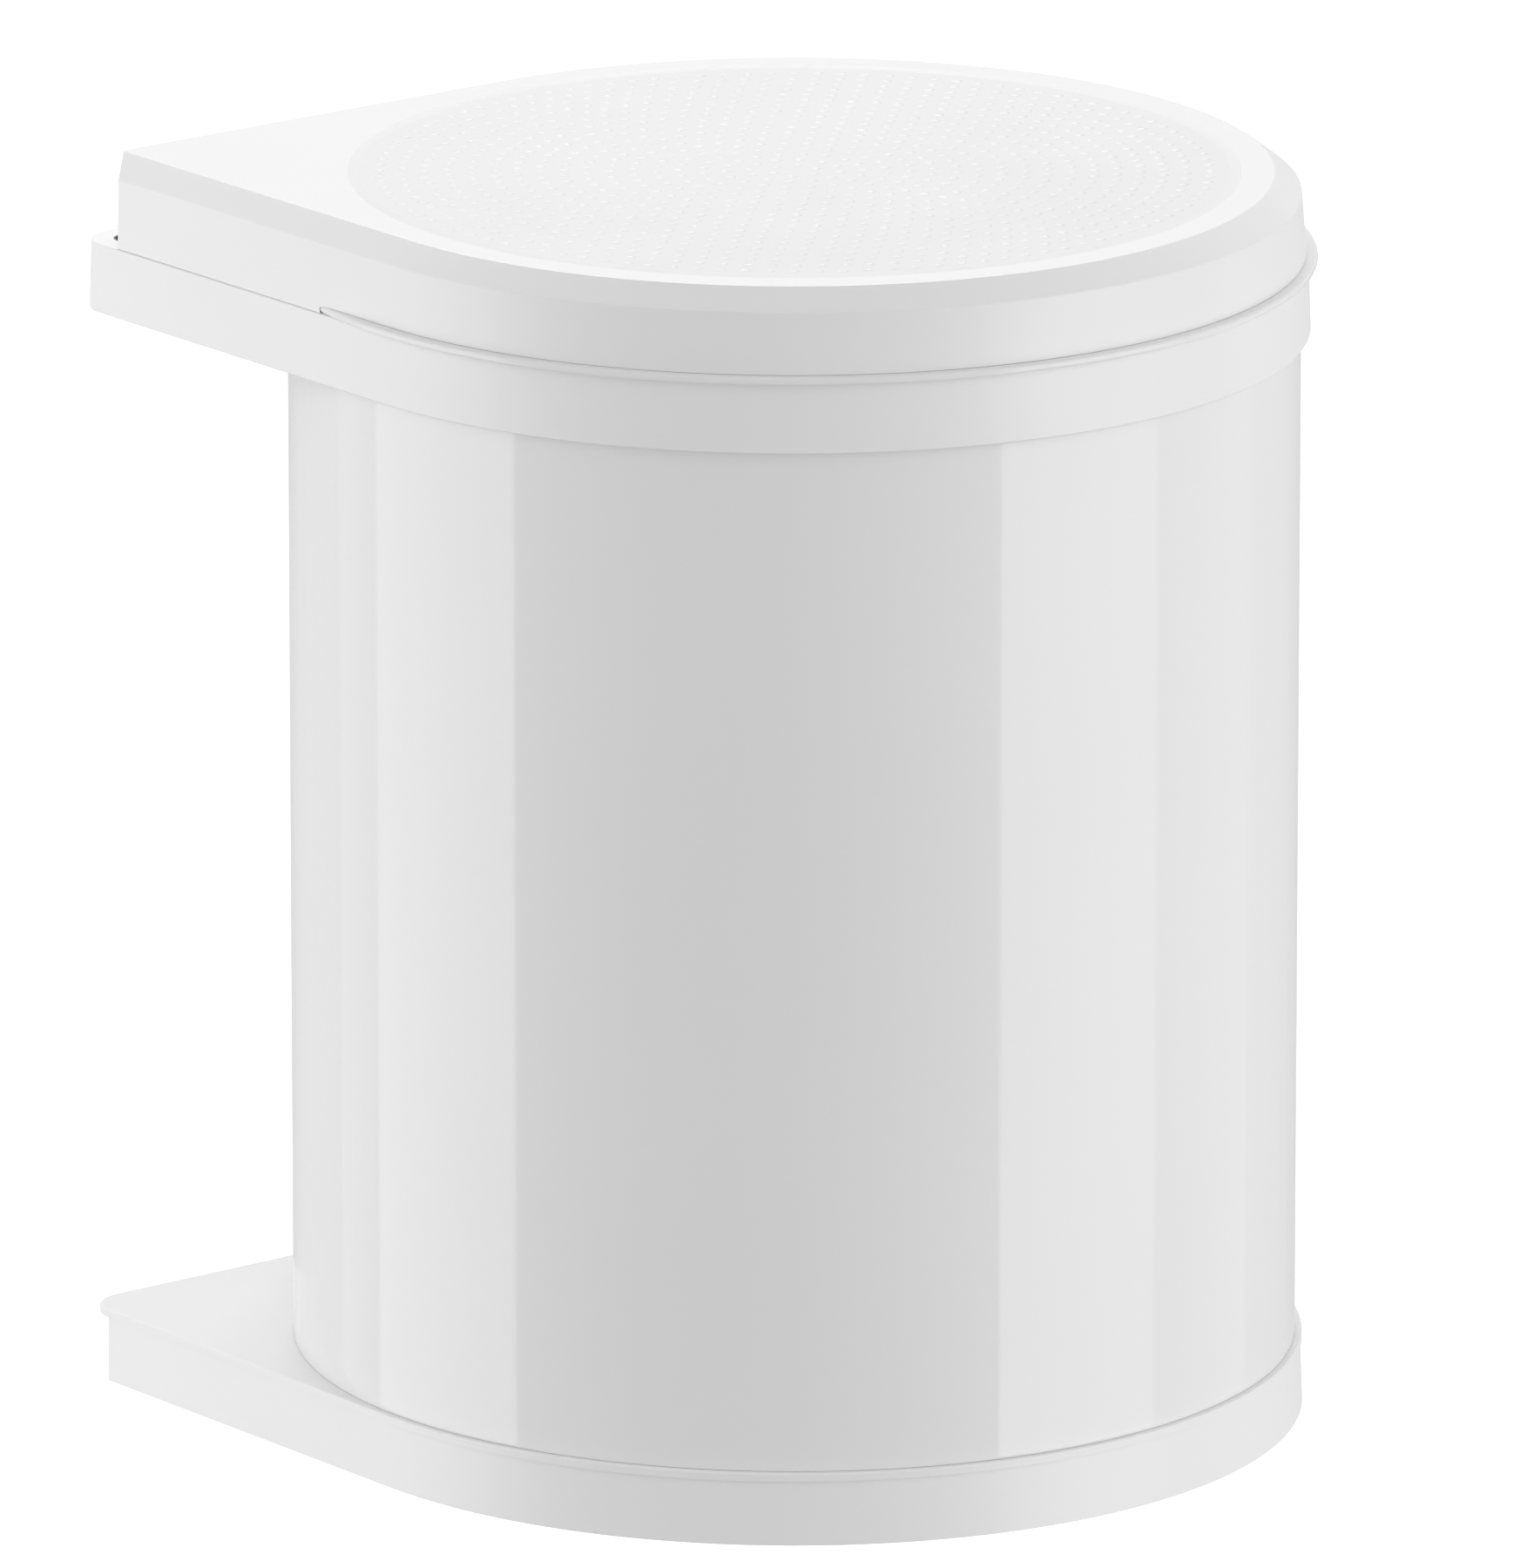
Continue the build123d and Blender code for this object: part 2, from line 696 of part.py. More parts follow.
def make_base_tray():
    """Base: a plate with a lip, a drafted skirt that is open in the square corner, ribs, and
    bosses for the bush, the bucket's screws and the rail."""
    plate = between(base_half, base_underside, base_half, base_height)
    plate = fillet(level_edges(plate, base_height), edge_round)
    skirt = between(skirt_foot_half, 0, skirt_half, base_underside, 0)
    corner = pivot_distance + base_corner_reach
    skirt -= beyond_corner(corner, -past, base_height)
    hollow = between(skirt_foot_half - base_wall, 0, skirt_half - base_wall, base_underside, 0)
    hollow -= beyond_corner(corner - base_wall, -past, base_height)
    rib_foot = base_underside - base_rib_drop
    ribs = rod(base_hub_radius, rib_foot, base_underside)
    ribs -= rod(base_hub_radius - base_rib, -past, base_underside)
    rim = rod(base_rib_reach, rib_foot, base_underside)
    ribs += rim - rod(base_rib_reach - base_rib, -past, base_underside)
    half_rib = base_rib / 2
    rib_start = base_hub_radius - half_rib
    rib_end = base_rib_reach - half_rib
    for i in range(base_rib_count):
        rib = block(rib_start, rib_end, -half_rib, half_rib, rib_foot, base_underside)
        ribs += Rot(0, 0, 360 * i / base_rib_count) * rib
    tray = plate + (skirt - hollow) + ribs
    boss_foot = lower_arm + sheet + bush_flange
    tray += rod(bush_radius + boss_wall, boss_foot, base_underside, pivot, pivot)
    outside = -skirt_foot_half - past
    slot_far = pivot + hypot(wall_plane - pivot, arm_far) + cam_clearance
    slot_near = -skirt_half + base_wall
    tray -= block(outside, pivot + arm_eye, slot_near, slot_far, -past, lower_arm + sheet + cam_clearance)
    tray -= rod(bush_flange_radius + arm_clearance, -past, boss_foot, pivot, pivot)
    tray -= rod(bush_radius + fixed_fit, -past, lower_bush_top + blind_gap, pivot, pivot)
    for x, y in base_screw_spots():
        low = base_height - base_screw_length
        tray += rod(base_screw_radius + base_boss_wall, low, base_underside, x, y)
        tray -= rod(base_screw_radius + thread_fit, low - past, base_height + past, x, y)
    for x, y in rail_screw_spots():
        low = rail_rise + rail_height
        hole_top = low - rail_web + rail_screw_length + blind_gap
        tray += rod(rail_boss_radius, low, base_underside, x, y)
        tray -= rod(rail_screw_radius + thread_fit, low - past, hole_top, x, y)
    return tray


def make_door_rail():
    """Channel under the base's front, open downwards, for a roller on the door."""
    half = rail_width / 2
    y = -rail_distance
    top = rail_rise + rail_height
    start = rail_middle - rail_length / 2
    end = rail_middle + rail_length / 2
    rail = block(start, end, y - half, y + half, rail_rise, top)
    slot = rail_slot / 2
    rail -= block(start - past, end + past, y - slot, y + slot, rail_rise - past, top - rail_web)
    for x, y in rail_screw_spots():
        rail -= rod(rail_screw_radius + thread_fit, rail_rise, top + past, x, y)
        rail -= rail_screw_cone(x, y, top - rail_web, thread_fit)
    return rail


def cross_recess(x, y, face, reach):
    """Cross for a screwdriver, sunk both ways from the face of a screw's head."""
    arm = Box(2 * reach, recess_width, 2 * recess_sink)
    return Pos(x, y, face) * (arm + Rot(0, 0, 90) * arm)


def make_rail_screws():
    """Countersunk screws that hold the rail."""
    low = rail_rise + rail_height - rail_web
    screws = []
    for x, y in rail_screw_spots():
        shank = rod(rail_screw_radius, low, low + rail_screw_length, x, y)
        screw = rail_screw_cone(x, y, low) + shank
        screws.append(screw - cross_recess(x, y, low, rail_screw_radius))
    return screws


def make_bucket_wall():
    """Straight steel wall with a flat rolled bead at the top, which lies on the ring."""
    wall = rod(bucket_radius, base_height + foot_gap, ring_top + bead_height / 2)
    bead = RectangleRounded(bead_reach + bucket_sheet, bead_height, bead_round)
    bead_middle = bucket_radius + (bead_reach - bucket_sheet) / 2
    bead = Pos(bead_middle, 0, ring_top + bead_height / 2) * Rot(90, 0, 0) * bead
    bore = rod(bucket_radius - bucket_sheet, base_height - past, ring_top + past)
    return wall + revolve(bead, Axis.Z) - bore


def make_bucket_bottom():
    """Pressed steel bottom. Its outer zone rests on the base and its middle stands up a little."""
    outer = bucket_radius - bucket_sheet - seam_clearance
    rest = outer - bottom_rest_width
    floor = base_height
    rise = floor + bottom_rise
    bottom = turned(
        (0, rise),
        (rest - bottom_rise, rise),
        (rest, floor),
        (outer, floor),
        (outer, floor + bottom_flange),
        (outer - bucket_sheet, floor + bottom_flange),
        (outer - bucket_sheet, floor + bucket_sheet),
        (rest, floor + bucket_sheet),
        (rest - bottom_rise, rise + bucket_sheet),
        (0, rise + bucket_sheet),
    )
    for x, y in base_screw_spots():
        bottom -= rod(base_screw_radius + thread_fit, floor - past, floor + past, x, y)
    return bottom


def make_bucket_screws():
    """Pan head screws through the bucket's bottom into the base."""
    seat = base_height + bucket_sheet
    screws = []
    for x, y in base_screw_spots():
        head = rod(base_screw_head_radius, seat, seat + base_screw_head, x, y)
        head = fillet(level_edges(head, seat + base_screw_head), base_screw_head / 3)
        head -= cross_recess(x, y, seat + base_screw_head, base_screw_radius)
        screws.append(head + rod(base_screw_radius, seat - base_screw_length, seat, x, y))
    return screws


def make_inner_bin():
    """Removable plastic bin with a turned-down rim and two lugs for its handle."""
    low = bin_stand
    high = bin_rim_level
    inner = bin_top_radius - bin_wall
    rim = bin_top_radius + bin_rim_reach
    body = turned(
        (0, low),
        (bin_bottom_radius, low),
        (bin_top_radius, high - bin_rim_plate),
        (rim - bin_wall, high - bin_rim_plate),
        (rim - bin_wall, high - bin_rim_skirt),
        (rim, high - bin_rim_skirt),
        (rim, high),
        (inner, high),
        (bin_bottom_radius - bin_wall, low + bin_floor),
        (0, low + bin_floor),
    )
    half = lug_width / 2
    foot = high - lug_width
    lug = block(inner - lug_thickness, inner + lug_embed, -half, half, foot, high + lug_rise)
    lug = fillet(lug.edges().filter_by(Axis.X).group_by(Axis.Z)[-1], lug_width / 3)
    lug -= Pos(inner, 0, wire_level) * Rot(0, 90, 0) * Cylinder(wire_radius + lug_clearance, wire_end)
    body += lug + Rot(0, 0, 180) * lug
    return body


def on_bail(body):
    """Swings a piece of the handle up a little, so that its grip lies on the bin's rim."""
    climb = grip_radius - wire_radius
    tilt = asin(climb / (bail_radius * cos(radians(grip_half_angle))))
    return Pos(0, 0, wire_level) * Rot(-degrees(tilt), 0, 0) * body


def make_bail_handle():
    """Wire handle: half a ring, with ends that turn inwards through the bin's lugs."""
    reach = 2 * bail_radius
    ring = Torus(bail_radius, wire_radius) & block(-reach, reach, -reach, 0, -past, past)
    for side in (-1, 1):
        end = Rot(0, 90, 0) * Cylinder(wire_radius, wire_end)
        ring += Pos(side * (bail_radius - wire_end / 2), 0, 0) * end
        ring += Pos(side * bail_radius, 0, 0) * Sphere(wire_radius)
    return on_bail(ring)


def make_handle_grip():
    """Plastic grip on the middle of the wire."""
    section = Circle(grip_radius) - Circle(wire_radius + grip_fit)
    section = Pos(bail_radius, 0, 0) * Rot(90, 0, 0) * section
    grip = revolve(section, Axis.Z, 2 * grip_half_angle)
    return on_bail(grip.rotate(Axis.Z, -90 - grip_half_angle))


def save(name, body):
    """Moves a piece, or a list of like pieces, to the part's origin and writes its STEP file."""
    if isinstance(body, list):
        body = Compound(children=body)
    body = Pos(-wall_plane, 0, -bracket_middle) * body
    export_step(body, f"parts/{name}.step")
    print(name, round(body.volume, 1))


def main():
    os.makedirs("parts", exist_ok=True)
    save("wall_bracket", make_wall_bracket())
    save("upper_pivot_pin", make_upper_pivot_pin())
    save("lower_pivot_pin", make_lower_pivot_pin())
    save("pivot_washer", make_pivot_washer())
    save("pivot_screw", make_pivot_screw())
    save("lift_cam", make_lift_cam())
    save("cam_rivets", make_cam_rivets())
    save("closing_pads", make_closing_pads())
    save("ring_frame", make_ring_frame())
    save("upper_bush", make_upper_bush())
    save("lower_bush", make_lower_bush())
    save("hinge_pins", make_hinge_pins())
    save("lid_buffers", make_lid_buffers())
    save("base_tray", make_base_tray())
    save("door_rail", make_door_rail())
    save("rail_screws", make_rail_screws())
    save("bucket_wall", make_bucket_wall())
    save("bucket_bottom", make_bucket_bottom())
    save("bucket_screws", make_bucket_screws())
    save("inner_bin", make_inner_bin())
    save("bail_handle", make_bail_handle())
    save("handle_grip", make_handle_grip())
    save("lid", make_lid())
    save("lid_lifter", make_lid_lifter())
    print("the push rod rises", round(lift, 4), "mm")


main()
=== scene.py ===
# %% [markdown]
# A built-in cabinet bin. It hangs on a bracket on the cabinet's side wall, swings out through the
# door, and its lid lifts by itself. The solid model gives every piece its shape and size. This
# script gives the pieces their finish, adds the small things that a solid model leaves out, and
# sets up the studio. All lengths here are metres, because that is what Blender works in.

# %% Load the solid model
import json
from math import atan2, cos, degrees, pi, radians, sin, sqrt

import bpy
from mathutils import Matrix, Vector


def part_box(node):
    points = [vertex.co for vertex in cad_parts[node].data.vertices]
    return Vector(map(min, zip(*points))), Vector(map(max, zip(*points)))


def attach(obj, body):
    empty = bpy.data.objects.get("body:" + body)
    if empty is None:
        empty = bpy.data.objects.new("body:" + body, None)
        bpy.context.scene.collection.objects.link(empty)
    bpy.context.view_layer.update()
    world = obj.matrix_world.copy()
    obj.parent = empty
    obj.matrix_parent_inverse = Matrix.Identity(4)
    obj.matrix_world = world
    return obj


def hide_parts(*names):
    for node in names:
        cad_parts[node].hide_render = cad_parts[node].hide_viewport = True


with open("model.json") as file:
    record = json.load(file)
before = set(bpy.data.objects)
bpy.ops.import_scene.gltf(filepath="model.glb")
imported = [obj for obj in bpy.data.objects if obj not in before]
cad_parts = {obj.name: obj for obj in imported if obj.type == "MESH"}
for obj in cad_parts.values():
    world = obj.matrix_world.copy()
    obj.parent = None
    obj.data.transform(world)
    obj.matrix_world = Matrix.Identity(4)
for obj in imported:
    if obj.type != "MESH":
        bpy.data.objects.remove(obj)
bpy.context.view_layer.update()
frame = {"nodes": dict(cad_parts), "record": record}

mm = 0.001

# %% [markdown]
# Later cells need a few places on the bin. They are read from the solid model, so that they stay
# right when the model changes. The bucket is round, so the middle of its box is its axis. In the
# solid model its bead is a polygon, a hair narrower along Y than along X, and a bead made again
# has to stay within that.

# %% Places on the bin
bucket_low, bucket_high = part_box("bucket_wall")
axis_x = (bucket_low.x + bucket_high.x) / 2
axis_y = (bucket_low.y + bucket_high.y) / 2
bead_reach = 4.4 * mm
bead_height = 2.1 * mm
bucket_radius = (bucket_high.x - bucket_low.x) / 2 - bead_reach
bead_edge = (bucket_high.y - bucket_low.y) / 2 - bucket_radius
lid_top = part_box("lid")[1].z
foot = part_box("base_tray")[0].z
axis_mm = [round(v / mm, 2) for v in (axis_x, axis_y)]
print("bucket axis", axis_mm, "radius", round(bucket_radius / mm, 2), "mm")

# %% [markdown]
# Colours are written as sRGB hex values, as a paint chart gives them, and Blender's sockets want
# linear light, so one function converts them. Another one adds a node to a tree, with its
# settings, its values and its links. The rest are short names for steps that come up often.


# %% Helpers for colours and nodes
def linear(hex_colour):
    """An sRGB hex colour as linear red, green, blue and alpha."""
    parts = [int(hex_colour[i : i + 2], 16) / 255 for i in (1, 3, 5)]
    return [p / 12.92 if p <= 0.04045 else ((p + 0.055) / 1.055) ** 2.4 for p in parts] + [1.0]


def add_node(tree, kind, inputs=None, **settings):
    """A new node. Each input gets a value, or a link from another node's output."""
    node = tree.nodes.new(kind)
    for name, value in settings.items():
        setattr(node, name, value)
    for name, value in (inputs or {}).items():
        if isinstance(value, bpy.types.NodeSocket):
            tree.links.new(value, node.inputs[name])
        else:
            node.inputs[name].default_value = value
    return node


def new_material(name, ior=None, metallic=0.0):
    """A material with its tree, its Principled shader and its Object coordinates."""
    material = bpy.data.materials.new(name)
    material.use_nodes = True
    tree = material.node_tree
    shader = tree.nodes["Principled BSDF"]
    shader.inputs["Metallic"].default_value = metallic
    if ior:
        shader.inputs["IOR"].default_value = ior
    place = add_node(tree, "ShaderNodeTexCoord").outputs["Object"]
    return material, tree, shader, place


def math_node(tree, operation, *values):
    """The result of one sum on values or outputs."""
    return add_node(tree, "ShaderNodeMath", dict(enumerate(values)), operation=operation).outputs[0]


def noise(tree, place, width, detail=2.0, stretch=(1, 1, 1)):
    """Noise whose patches are about one width across, longer where stretch is under 1."""
    size = [s / width for s in stretch]
    scaled = add_node(tree, "ShaderNodeMapping", {"Vector": place, "Scale": size}).outputs[0]
    inputs = {"Vector": scaled, "Scale": 1.0, "Detail": detail}
    return add_node(tree, "ShaderNodeTexNoise", inputs).outputs[0]


def blend_colours(tree, share, first, second):
    """A colour between two hex colours, or between a colour output and a hex colour."""
    mix = add_node(tree, "ShaderNodeMix", {0: share}, data_type="RGBA")
    for slot, colour in ((6, first), (7, second)):
        if isinstance(colour, str):
            mix.inputs[slot].default_value = linear(colour)
        else:
            tree.links.new(colour, mix.inputs[slot])
    return mix.outputs[2]


def spread_over(tree, share, low, high):
    """A number that goes from low to high as the share goes from 0.3 to 0.7, where noise lies."""
    limits = {"Value": share, "From Min": 0.3, "From Max": 0.7, "To Min": low, "To Max": high}
    return add_node(tree, "ShaderNodeMapRange", limits).outputs["Result"]


def bumps(tree, height, depth):
    """Surface normals for relief of a given depth."""
    inputs = {"Height": height, "Strength": 1.0, "Distance": depth}
    return add_node(tree, "ShaderNodeBump", inputs).outputs[0]


def finish(tree, shader, colour, roughness, normal):
    """Links the three patterns that every finish here has to its shader."""
    tree.links.new(colour, shader.inputs["Base Color"])
    tree.links.new(roughness, shader.inputs["Roughness"])
    tree.links.new(normal, shader.inputs["Normal"])


print("white is", linear("#FFFFFF"))

# %% [markdown]
# Lid, ring and base are moulded in white ABS. A mould's steel is lightly etched, so the plastic
# comes out satin: soft highlights, no mirror image, and a grain too fine to see as such. A noise
# gives the grain, and slow clouds in colour and roughness keep large faces from looking like
# paint. The real grain is about 0.1 mm wide. It is drawn at 0.5 mm, because a finer one would only
# flicker in a picture of the whole bin.

# %% White moulded ABS
abs_grain = 0.5 * mm
abs_cloud = 60 * mm
abs_relief = 0.002 * mm


def moulded_abs(name):
    """Satin white plastic. Returns the parts of its material, for a finish that goes on."""
    material, tree, shader, place = new_material(name, ior=1.53)
    cloud = noise(tree, place, abs_cloud)
    colour = blend_colours(tree, cloud, "#EEEEEE", "#EBEBEB")
    roughness = spread_over(tree, cloud, 0.34, 0.4)
    grain = noise(tree, place, abs_grain, 1.0)
    finish(tree, shader, colour, roughness, bumps(tree, grain, abs_relief))
    return material, tree, shader, place, colour, roughness


white_abs = moulded_abs("ABS moulded satin")[0]
print("made", white_abs.name)

# %% [markdown]
# The lid's round panel is a shallow dish with a finish of its own. Its part of the mould is etched
# deeper, so the panel looks a shade darker and duller than the rim round it. A distance from the
# bucket's axis tells the zones apart, and a height keeps the darker zone off the lid's sides.
# Later the panel gets raised dots. Hands and cloths rub their tops smooth, so the dullness fades
# from the panel's floor to the height of the tops.

# %% The lid's two zones
panel_radius = 120.2 * mm
panel_depth = 0.3 * mm
panel_etch = 0.12


def lid_finish():
    """The white plastic with a duller round zone in the lid's sunk panel."""
    material, tree, shader, place, colour, roughness = moulded_abs("ABS moulded satin lid")
    shift = {"Vector": place, "Location": (-axis_x, -axis_y, 0)}
    centred = add_node(tree, "ShaderNodeMapping", shift).outputs[0]
    parts = add_node(tree, "ShaderNodeSeparateXYZ", {0: centred}).outputs
    flat = add_node(tree, "ShaderNodeCombineXYZ", {"X": parts["X"], "Y": parts["Y"]}).outputs[0]
    reach = add_node(tree, "ShaderNodeVectorMath", {0: flat}, operation="LENGTH").outputs["Value"]
    inside = math_node(tree, "LESS_THAN", reach, panel_radius)
    above = math_node(tree, "GREATER_THAN", parts["Z"], lid_top - 2 * panel_depth)
    zone = math_node(tree, "MULTIPLY", inside, above)
    tree.links.new(blend_colours(tree, zone, colour, "#E5E5E5"), shader.inputs["Base Color"])
    limits = {"Value": parts["Z"], "From Min": lid_top - panel_depth, "From Max": lid_top}
    limits.update({"To Min": panel_etch, "To Max": 0.0})
    etch = add_node(tree, "ShaderNodeMapRange", limits).outputs[0]
    duller = math_node(tree, "MULTIPLY_ADD", zone, etch, roughness)
    tree.links.new(duller, shader.inputs["Roughness"])
    return material


lid_abs = lid_finish()
print("made", lid_abs.name)

# %% [markdown]
# The bucket is sheet steel with a glossy white coating, baked on. It mirrors the studio's
# softboxes as tall bands. Such a coat isn't as flat as glass: it dries with a slight orange peel,
# waves some millimetres wide and thousandths deep, which make the bands' edges waver a little.

# %% White coated steel
peel_width = 7 * mm
peel_relief = 0.003 * mm


def coated_steel():
    """Glossy white coating with a slight orange peel."""
    material, tree, shader, place = new_material("steel white coated gloss", ior=1.5)
    cloud = noise(tree, place, 90 * mm)
    colour = blend_colours(tree, cloud, "#ECECEC", "#E9E9E9")
    peel = bumps(tree, noise(tree, place, peel_width), peel_relief)
    finish(tree, shader, colour, spread_over(tree, cloud, 0.05, 0.08), peel)
    return material


white_coat = coated_steel()
print("made", white_coat.name)

# %% [markdown]
# The cam, the push rod and the handle's grip slide or are held, so they are acetal, a dense waxy
# plastic, in black. The bushes are acetal too, and their black is painted shade: where they line
# the pivot holes, it stands in for the shade inside the holes. The inner bin is grey polypropylene,
# which looks a little greasy and shows faint flow marks that run up the wall from the gate in its
# floor.
# are rubber: dull, with a soft sheen and fine speckles.


# %% Black acetal with painted hole shade, grey polypropylene and rubber
def black_acetal_and_hole_shade():
    """Dense black plastic, satin, with faint scuffs. On the bushes its black is painted shade in
    the pivot holes.
    """
    material, tree, shader, place = new_material("acetal black satin and painted hole shade", ior=1.48)
    scuff = noise(tree, place, 3 * mm, 4.0)
    # On the bushes this black is painted shade: it stands in for the shade inside the pivot holes.
    colour = blend_colours(tree, scuff, "#161616", "#1F1F20")
    grain = bumps(tree, noise(tree, place, 0.4 * mm), 0.006 * mm)
    finish(tree, shader, colour, spread_over(tree, scuff, 0.3, 0.45), grain)
    return material


def grey_polypropylene():
    """Grey moulded plastic with upright flow marks and a waxy shine."""
    material, tree, shader, place = new_material("polypropylene moulded grey", ior=1.49)
    flow = noise(tree, place, 12 * mm, 3.0, stretch=(1, 1, 0.08))
    colour = blend_colours(tree, flow, "#B5B6B7", "#AEAFB1")
    grain = bumps(tree, noise(tree, place, 0.6 * mm), 0.01 * mm)
    finish(tree, shader, colour, spread_over(tree, flow, 0.32, 0.5), grain)
    return material


def soft_rubber():
    """Grey rubber with fine speckles."""
    material, tree, shader, place = new_material("rubber moulded grey", ior=1.52)
    shader.inputs["Sheen Weight"].default_value = 0.15
    speck = noise(tree, place, 0.5 * mm, 3.0)
    colour = blend_colours(tree, speck, "#9A9A9A", "#A4A4A4")
    roughness = spread_over(tree, speck, 0.65, 0.85)
    finish(tree, shader, colour, roughness, bumps(tree, speck, 0.02 * mm))
    return material


acetal = black_acetal_and_hole_shade()
polypropylene = grey_polypropylene()
rubber = soft_rubber()
print("made", acetal.name, polypropylene.name, rubber.name)

# %% [markdown]
# The bracket is folded from zinc-plated sheet. The zinc is thin and even, with cloudy patches and
# faint lines along the direction in which the sheet was rolled. Pins, screws and the washer are
# turned or headed from bright steel, so their lines run round them. Noise squeezed along Z gives
# lines that run round an upright pin. The wire handle is drawn through a die, which leaves long
# fine lines along the wire.


# %% Zinc-plated sheet, bright steel and drawn wire
def zinc_plated():
    """Zinc-plated sheet steel, rolled along Z."""
    material, tree, shader, place = new_material("steel sheet zinc plated", metallic=1.0)
    cloud = noise(tree, place, 14 * mm, 4.0)
    lines = noise(tree, place, 0.9 * mm, 2.0, stretch=(1, 1, 0.02))
    patch = blend_colours(tree, cloud, "#C4C8CC", "#AEB3B8")
    colour = blend_colours(tree, spread_over(tree, lines, 0.0, 0.35), patch, "#D6D8DA")
    roughness = spread_over(tree, cloud, 0.28, 0.42)
    finish(tree, shader, colour, roughness, bumps(tree, lines, 0.008 * mm))
    return material


def bright_steel():
    """Turned steel, with fine lines round an upright axis."""
    material, tree, shader, place = new_material("steel turned bright", metallic=1.0)
    lines = noise(tree, place, 0.5 * mm, 2.0, stretch=(0.05, 0.05, 1))
    colour = blend_colours(tree, lines, "#C2C2C4", "#B0B1B3")
    roughness = spread_over(tree, lines, 0.2, 0.34)
    finish(tree, shader, colour, roughness, bumps(tree, lines, 0.006 * mm))
    return material


def drawn_wire():
    """Bright drawn wire. The handle lies level, so its lines are thin along Z."""
    material, tree, shader, place = new_material("steel wire drawn bright", metallic=1.0)
    lines = noise(tree, place, 0.35 * mm, 2.0, stretch=(0.03, 0.03, 1))
    cloud = noise(tree, place, 9 * mm)
    colour = blend_colours(tree, cloud, "#C8C8CA", "#B7B8BB")
    roughness = spread_over(tree, lines, 0.16, 0.28)
    finish(tree, shader, colour, roughness, bumps(tree, lines, 0.004 * mm))
    return material


zinc = zinc_plated()
steel = bright_steel()
wire = drawn_wire()
print("made", zinc.name, steel.name, wire.name)

# %% [markdown]
# Every piece of the solid model now gets its finish. The record gives each piece a slot, such as
# white_plastic, and a table turns a slot into a material. Two pieces are set apart: the lid with
# its two zones, and the handle, which is wire.

# %% Finishes for the pieces of the solid model
slot_finish = {
    "white_plastic": white_abs,
    "coated_steel": white_coat,
    # The dark_plastic slot holds the bushes too, whose black is painted shade in the pivot holes.
    "grey_plastic": polypropylene,
    "dark_plastic": acetal,
    "zinc_steel": zinc,
    "steel": steel,
    "rubber": rubber,
}
piece_finish = {"lid": lid_abs, "bail_handle": wire}
for part in frame["record"]["subparts"]:
    node = frame["nodes"][part["node"]]
    material = piece_finish.get(part["node"], slot_finish[part["material_slot"]])
    for slot in node.material_slots:
        slot.link = "OBJECT"
        slot.material = material
print("finished", len(frame["nodes"]), "pieces")

# %% [markdown]
# Geometry Nodes make what follows a rule. Two helpers serve them: one starts a tree with named
# inputs, and one runs a tree on a carrier object and keeps the result as a plain mesh. A tree
# hands out instances, and an export would drop them, so each tree ends in Realize Instances and
# Set Material.

# %% Helpers for Geometry Nodes
socket_kinds = {int: "NodeSocketInt", float: "NodeSocketFloat"}


def geometry_tree(name, values):
    """A tree with a number input for each value. Returns the tree and its group input node."""
    tree = bpy.data.node_groups.new(name, "GeometryNodeTree")
    tree.interface.new_socket("Geometry", in_out="INPUT", socket_type="NodeSocketGeometry")
    for label, value in values.items():
        tree.interface.new_socket(label, in_out="INPUT", socket_type=socket_kinds[type(value)])
    tree.interface.new_socket("Material", in_out="INPUT", socket_type="NodeSocketMaterial")
    tree.interface.new_socket("Geometry", in_out="OUTPUT", socket_type="NodeSocketGeometry")
    return tree, add_node(tree, "NodeGroupInput").outputs


def end_tree(tree, geometry, inputs):
    """Realizes the geometry, sets its material and links it to the tree's output."""
    whole = add_node(tree, "GeometryNodeRealizeInstances", {0: geometry}).outputs[0]
    values = {"Geometry": whole, "Material": inputs["Material"]}
    dressed = add_node(tree, "GeometryNodeSetMaterial", values)
    add_node(tree, "NodeGroupOutput", {0: dressed.outputs[0]})


def run_tree(name, tree, values, material, body, start=None, sharp=30):
    """Runs a tree and returns its result as a plain piece that rides on a body."""
    carrier = bpy.data.objects.new(name + "_carrier", start or bpy.data.meshes.new(name + "_start"))
    bpy.context.scene.collection.objects.link(carrier)
    modifier = carrier.modifiers.new("rule", "NODES")
    modifier.node_group = tree
    for item in tree.interface.items_tree:
        if item.in_out == "INPUT" and item.name in values:
            modifier[item.identifier] = values[item.name]
        if item.in_out == "INPUT" and item.name == "Material":
            modifier[item.identifier] = material
    shown = carrier.evaluated_get(bpy.context.evaluated_depsgraph_get())
    mesh = bpy.data.meshes.new_from_object(shown)
    mesh.name = name
    bpy.data.objects.remove(carrier)
    mesh.shade_smooth()
    mesh.set_sharp_from_angle(angle=radians(sharp))
    piece = bpy.data.objects.new(name, mesh)
    bpy.context.scene.collection.objects.link(piece)
    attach(piece, body)
    print(name, "has", len(mesh.polygons), "faces")
    return piece


print("ready to make pieces from rules")

# %% [markdown]
# The panel of the lid carries rings of small raised dots, which keep hands from slipping and hide
# scratches. Ring number k has six times k dots, so the dots lie about equally far apart
# everywhere. The dots are counted through from the middle, and a little algebra turns a dot's
# number into its ring and its place on that ring: rings 1 to k hold 3 k (k + 1) dots together.
# The 9.01 in it is 9 and a little more, so that rounding can't put a dot on the ring before.
# Every ring starts on the same line, a little off the lid's hinge side.
# A flattened ball would stand up steeply at its edge. Its heights are squared, which makes each
# dot a low dome with an even slope.

# %% The dots on the lid
dot_sizes = {
    "Rings": 18,
    "Pitch": 6.21 * mm,
    "First Angle": radians(15),
    "Dot Radius": 1.5 * mm,
    "Dot Height": 0.3 * mm,
}


